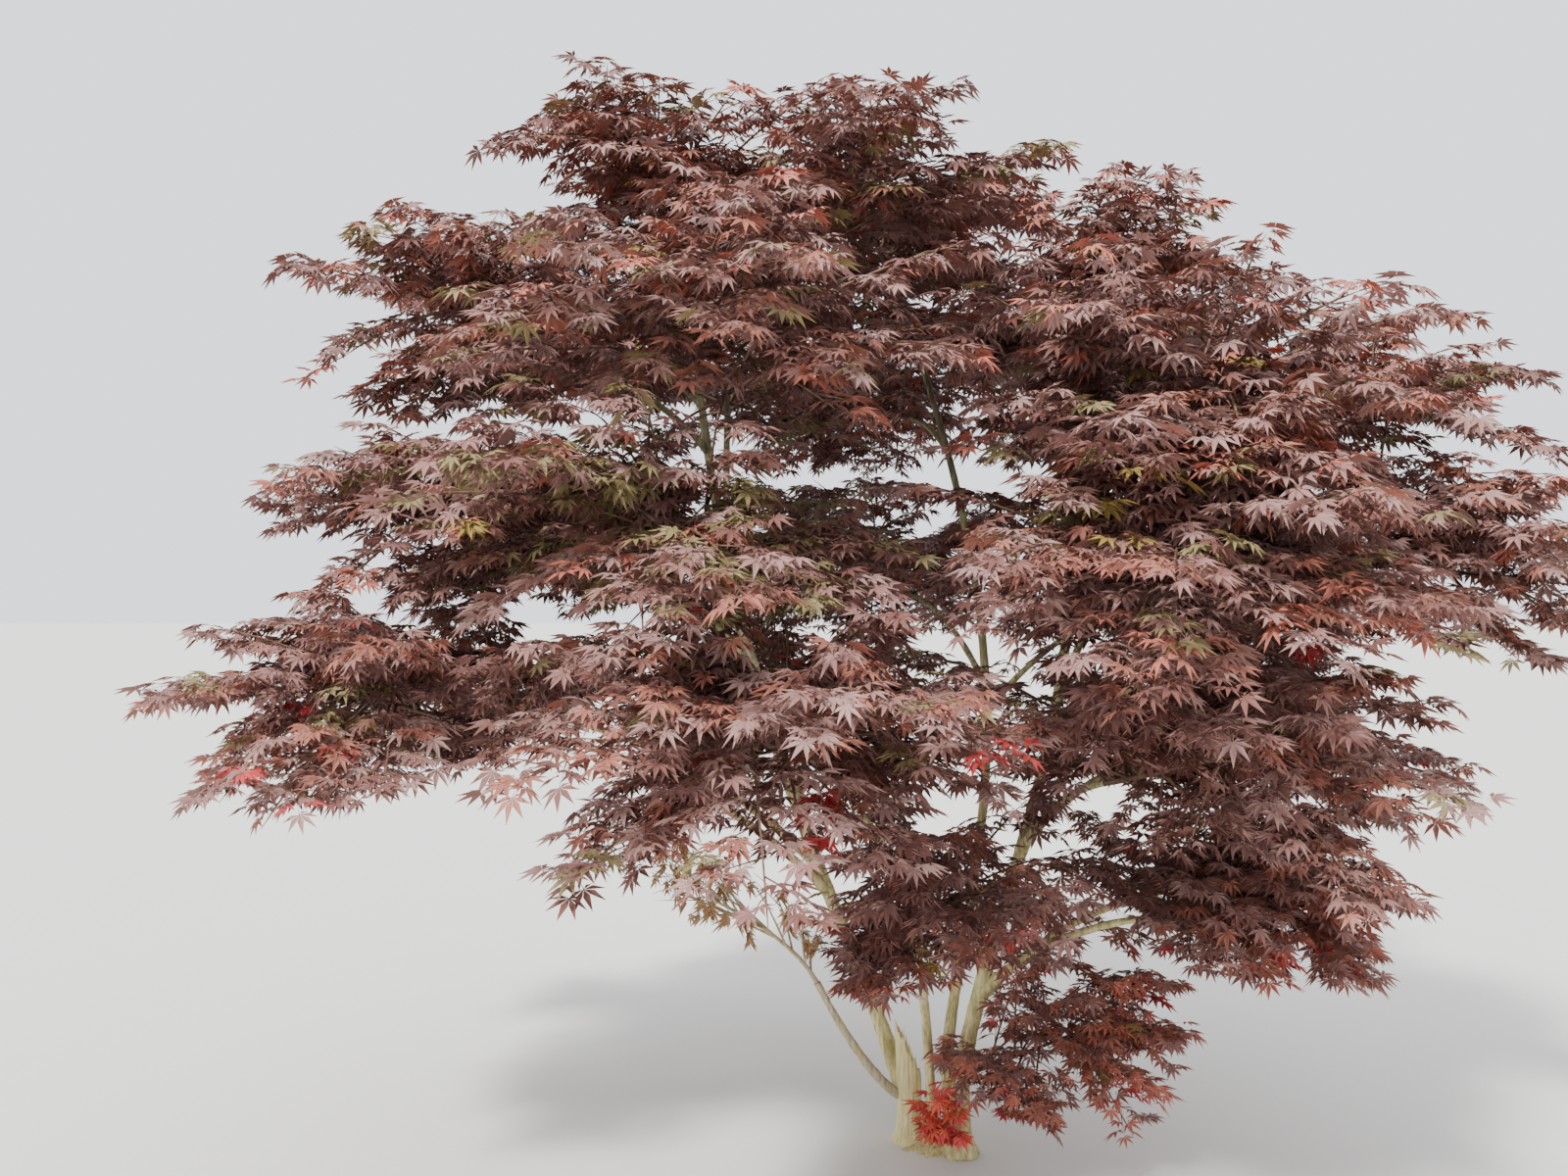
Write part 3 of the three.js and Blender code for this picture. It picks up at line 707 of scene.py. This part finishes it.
def growTwigs(space, random, limblet, scale): # to the left and right in turn, and one at the tip
    rise, (shortest, longest) = space.axes[2], growth["twig"]
    count = max(int(limblet.length / (growth["spacing"] * scale)), 2)
    for k in range(count + 1):
        share = lerp(growth["bare"], 1.0, k / count)
        start, along = limblet.at(share), limblet.heading(share)
        if isThinned(start, random):
            continue
        hand = (-1, 1)[k % 2] if share < 1 else 0
        level = unit(along * [1, 1, 0.4])
        aim = turn(level, rise, hand * math.radians(lerp(75, 35, share) * random.uniform(0.75, 1.2)))
        aim = unit(aim + up * random.uniform(-0.2, 0.3))
        room = space.room(start, aim, longest * scale)
        length = min(room, lerp(longest, shortest * 1.6, share) * scale * random.uniform(0.7, 1.1))
        if length >= shortest * scale * 0.6:
            growTwig(space, random, start, aim, length, scale, 0.2)


def growTwig(space, random, start, aim, length, scale, first):
    family = families[space.tier]
    sag = up * length * random.uniform(*growth["twigSag"])
    twig = Curve(start, start + aim * length * 0.5 + sag * 0.5, start + aim * length - sag)
    radiusAt = taper(*(r * scale for r in growth["twigRadius"]))
    tube(twigHeaps[family], twig.at(np.array([0, 0.55, 1])), radiusAt, 3, pointed=True)
    pair = [toneOf(space, twig.at(0.6), random) for k in range(2)]
    leafAlong(family, pair, random, twig, leaf["size"] * min(1, scale ** 0.5), first)


shoots = {
    "first": 0.25, "spacing": 55, "lowest": 430, # where they stand along a limb
    "skin": 40, "mingle": 60, # how far inside a mass's outline, and how far into a neighbour
    "long": (90, 240), "shortest": 60, "seed": 21,
}


def growShoots(): # short leafy shoots on the stems and boughs, where these pass through a mass
    random = np.random.default_rng(shoots["seed"])
    leafy = [space for space in spaces.values() if space.tier in families]
    for curve in [*stemCurves.values(), *[curve for curve, radii in boughs.values()]]:
        for share in np.arange(shoots["first"], 1.0, shoots["spacing"] / curve.length):
            start, along = curve.at(share), curve.heading(share)
            homes = [space for space in leafy if space.holds(start, shoots["skin"], shoots["mingle"])[0]]
            if not homes or start[2] < shoots["lowest"] or isThinned(start, random):
                continue
            aside = turn(unit(np.cross(along, up) + 1e-6), along, random.uniform(0, 2 * math.pi))
            aim = unit(aside + along * random.uniform(0.2, 0.8) + up * 0.2)
            length = min(homes[0].room(start, aim, shoots["long"][1]), random.uniform(*shoots["long"]))
            if length >= shoots["shortest"]:
                growTwig(homes[0], random, start, aim, length, 1.0, 0.25)


for space in spaces.values():
    if space.tier in families and space.tier != "foot":
        growMass(space)
growMass(spaces["skirt_foot"], 0.75, 26, rootAt=stemCurves["right"].at(0.1))
growShoots()
print("leaves", sum(len(places) for places in sprays.values()))


leafLimits = {"past": 80, "ground": 8} # most past the solids' box, and least above the floor


def leafMesh(places, stretch):
    places, blade = np.array(places), bladeCorners * stretch
    base, ahead, roll, size = places[:, :3], unit(places[:, 3:6]), places[:, 6:7], places[:, 7:8]
    across = unit(np.cross(ahead, up) + 1e-9)
    over = np.cross(across, ahead)
    across, over = across * np.cos(roll) + over * np.sin(roll), over * np.cos(roll) - across * np.sin(roll)
    corners = (base[:, None] + size[:, None] * (blade[None, :, 0:1] * across[:, None]
               + blade[None, :, 1:2] * ahead[:, None] + blade[None, :, 2:3] * over[:, None]))
    low = np.array(solidBox[0]) / mm - leafLimits["past"]
    high = np.array(solidBox[1]) / mm + leafLimits["past"]
    low[2] = leafLimits["ground"]
    corners = corners[((corners > low) & (corners < high)).all(axis=(1, 2))]
    faces = bladeFaces[None] + (np.arange(len(corners)) * len(blade))[:, None, None]
    return corners.reshape(-1, 3), faces.reshape(-1, 3).tolist()


def leafPiece(name, key, material, slot, nodes, stretch=(1, 1, 1)):
    heap = Heap()
    heap.add(*leafMesh(sprays[key], stretch))
    heap.piece(name, material, slot, nodes)


def leafMaterial(name, colour, rough=0.4):
    shade = Shade(name)
    mottle = shade.grain((1, 1, 1), 60, 2.0)
    return shade.surface(Base_Color=tint(colour), Roughness=shade.band(mottle, 0.2, 0.8) * 0.2 + rough,
                         Specular_IOR_Level=0.3)


def twigMaterial():
    shade = Shade("twig_bark")
    long = shade.grain((1, 1, 0.4), 70, 3.0)
    colour = shade.mix(shade.band(long, 0.35, 0.65), tint("4b2f2a"), tint("7d6148"))
    return shade.surface(Base_Color=colour, Roughness=shade.band(long, 0.2, 0.8) * 0.2 + 0.6)


def massNodes(family):
    return [f"mass_{space.name}" for space in spaces.values() if families.get(space.tier) == family]


def dressCrown(): # the leaves by tier and tone, and the twigs by tier
    for family, tone in sorted(sprays):
        material = leafMaterial(f"leaf_{tone}_{family}", tones[tone])
        leafPiece(f"leaves_{family}_{tone}", (family, tone), material, slots[family], massNodes(family))
    twigBark = twigMaterial()
    for family, heap in twigHeaps.items():
        heap.piece(f"twigs_{family}", twigBark, "bark", massNodes(family))


dressCrown()

sprouts = {
    "count": 16, "middle": (-14, 10), "ring": (60, 40), "foot": 35, # where they rise from
    "spread": (0.5, 0.8, 0.7), "lowest": 90, # shares of their space's half sizes, and height of the tips
    "leafPlaces": (0.45, 0.65, 0.85, 1.0), "leafSize": (24, 44), "crimsonShare": 0.4,
    # the sprout leaves' reds are lighter than their own, as painted sunlight
    "leaves": {"ember": "de6a50", "crimson": "cf4f50"}, "stem": "a03a34", "seed": 5,
}


def growSprouts():
    random, stems, space = np.random.default_rng(sprouts["seed"]), Heap(), spaces["base_sprouts"]
    for k in range(sprouts["count"]):
        angle = random.uniform(math.pi, 2 * math.pi)
        foot = np.array([sprouts["middle"][0] + sprouts["ring"][0] * math.cos(angle),
                         sprouts["middle"][1] + sprouts["ring"][1] * math.sin(angle), sprouts["foot"]])
        away = np.array(sprouts["spread"]) * space.half * random.uniform(-1, 1, 3)
        tip = space.centre + space.axes.T @ away
        tip[2] = max(tip[2], sprouts["lowest"])
        shoot = Curve(foot, lerp(foot, tip, 0.4) + up * 30, tip)
        tube(stems, shoot.at(np.linspace(0, 1, 5)), taper(1.4, 0.7), 4, pointed=True)
        for share in sprouts["leafPlaces"]:
            point, along = shoot.at(share), shoot.heading(share)
            for leafOfPair in range(2):
                ahead = unit(along * 0.3 + np.array([random.uniform(-1, 1), random.uniform(-1, 0.4), 0.0])
                             + up * random.uniform(-0.7, 0.2))
                key = ("sprouts", ("ember", "crimson")[int(random.random() < sprouts["crimsonShare"])])
                size = random.uniform(*sprouts["leafSize"])
                plantLeaf(key, point + ahead * size * 0.35, ahead, random.uniform(-0.6, 0.6), size)
    stems.piece("sprout_stems", leafMaterial("sprout_stem", sprouts["stem"]), "foliage_red",
                ["mass_base_sprouts"])
    for tone, colour in sprouts["leaves"].items():
        leafPiece(f"leaves_sprouts_{tone}", ("sprouts", tone), leafMaterial(f"sprout_{tone}", colour),
                  "foliage_red", ["mass_base_sprouts"])


deadSpray = {
    "limblets": 14, "longest": 420, "twigs": 5, "twig": (60, 150), "leafy": 0.62, # share of twigs with leaves
    "leafSize": (26, 52), "curl": (0.55, 1.0, 2.6), "leaf": "a5825c", "seed": 9,
}


def growDeadSpray():
    random, twigs, space = np.random.default_rng(deadSpray["seed"]), Heap(), spaces["dead_spray"]
    out, rise, begin = space.axes[0], space.axes[2], deadCurve.at(1.0)
    spine = Curve(begin, begin + deadCurve.heading(1.0) * 140, space.centre + out * space.half[0] * 0.3)
    tube(twigs, spine.at(np.linspace(0, 1, 10)), taper(7.5, 4), 6)
    for k in range(deadSpray["limblets"]):
        share = lerp(0.05, 1.0, (k + 0.5) / deadSpray["limblets"])
        start, along = spine.at(share), spine.heading(share)
        hand = (-1, 1, 0)[k % 3]
        aim = turn(along, rise, hand * math.radians(lerp(80, 25, share)) * random.uniform(0.6, 1.1))
        aim = unit(aim + up * random.uniform(-0.3, 0.6))
        length = max(space.room(start, aim, deadSpray["longest"]) * random.uniform(0.75, 1.0), 60)
        sag = up * length * random.uniform(-0.05, 0.2)
        limblet = Curve(start, start + aim * length * 0.5 + sag, start + aim * length - sag * 0.5)
        tube(twigs, limblet.at(np.linspace(0, 1, 7)), taper(3.6, 1.6), 5, pointed=True)
        for j in range(deadSpray["twigs"]):
            spot = lerp(0.3, 1.0, j / (deadSpray["twigs"] - 1))
            growDeadTwig(space, random, limblet, spot, (-1) ** j, twigs)
    twigs.piece("dead_twigs", deadWood, "dead_twigs", ["dead_spray"])
    leafPiece("shrivelled_leaves", ("dead", "tan"), leafMaterial("dry_leaf", deadSpray["leaf"], 0.6),
              "dead_twigs", ["dead_spray"], deadSpray["curl"])


def growDeadTwig(space, random, limblet, share, hand, twigs):
    start, along = limblet.at(share), limblet.heading(share)
    aim = turn(along, space.axes[2], hand * random.uniform(0.4, 1.0))
    aim = unit(aim + up * random.uniform(-0.4, 0.4))
    length = max(min(space.room(start, aim, 160), random.uniform(*deadSpray["twig"])), 30)
    twig = Curve(start, start + aim * length * 0.5 + up * 6, start + aim * length)
    tube(twigs, twig.at(np.linspace(0, 1, 4)), taper(1.8, 0.8), 3, pointed=True)
    if random.random() < deadSpray["leafy"]:
        for dryLeaf in range(random.integers(1, 4)):
            point = twig.at(random.uniform(0.4, 1.0))
            down = unit(np.array([random.uniform(-0.5, 0.5), random.uniform(-0.5, 0.5), -1.0]))
            plantLeaf(("dead", "tan"), point + down * 10, down, random.uniform(-2, 2),
                      random.uniform(*deadSpray["leafSize"]))


growSprouts()
growDeadSpray()
print("sprouts and dead spray")


stage = {
    "floor": "d9d7d1", "clouds": "cfcdc8", "half": 60, # half the floor's side, in metres
    "sky": (0.93, 0.95, 1.0, 1.0), "skyStrength": 1.8, "sun": 5.4, "softness": 8, "from": (-0.42, -0.78, 0.9),
    "camera": (-0.434, -4.0, 1.52), "lens": 34.2, # level, with the horizon in the middle of the picture
}


def floorMaterial():
    shade = Shade("studio_floor")
    cloudy = shade.grain((1, 1, 1), 3, 2.0)
    colour = shade.mix(shade.band(cloudy, 0.2, 0.8) * 0.15, tint(stage["floor"]), tint(stage["clouds"]))
    return shade.surface(Base_Color=colour, Roughness=0.9)


def makeFloor():
    half, mesh = stage["half"], bpy.data.meshes.new("floor")
    corners = [(-half, -half, 0), (half, -half, 0), (half, half, 0), (-half, half, 0)]
    mesh.from_pydata(corners, [], [(0, 1, 2, 3)])
    mesh.materials.append(floorMaterial())
    floor = bpy.data.objects.new("floor", mesh)
    bpy.context.scene.collection.objects.link(floor)


def makeLight():
    world = bpy.data.worlds.new("studio")
    world.use_nodes = True
    world.node_tree.nodes["Background"].inputs["Color"].default_value = stage["sky"]
    world.node_tree.nodes["Background"].inputs["Strength"].default_value = stage["skyStrength"]
    bpy.context.scene.world = world
    sun = bpy.data.objects.new("key", bpy.data.lights.new("key", "SUN"))
    sun.data.energy, sun.data.angle = stage["sun"], math.radians(stage["softness"])
    sun.rotation_euler = Vector(stage["from"]).to_track_quat("Z", "Y").to_euler()
    bpy.context.scene.collection.objects.link(sun)


def makeCamera():
    camera = bpy.data.objects.new("camera", bpy.data.cameras.new("camera"))
    camera.data.lens, camera.data.sensor_width = stage["lens"], 36
    camera.location, camera.rotation_euler = stage["camera"], (math.pi / 2, 0, 0)
    bpy.context.scene.collection.objects.link(camera)
    bpy.context.scene.camera = camera


makeFloor()
makeLight()
makeCamera()
print("studio")
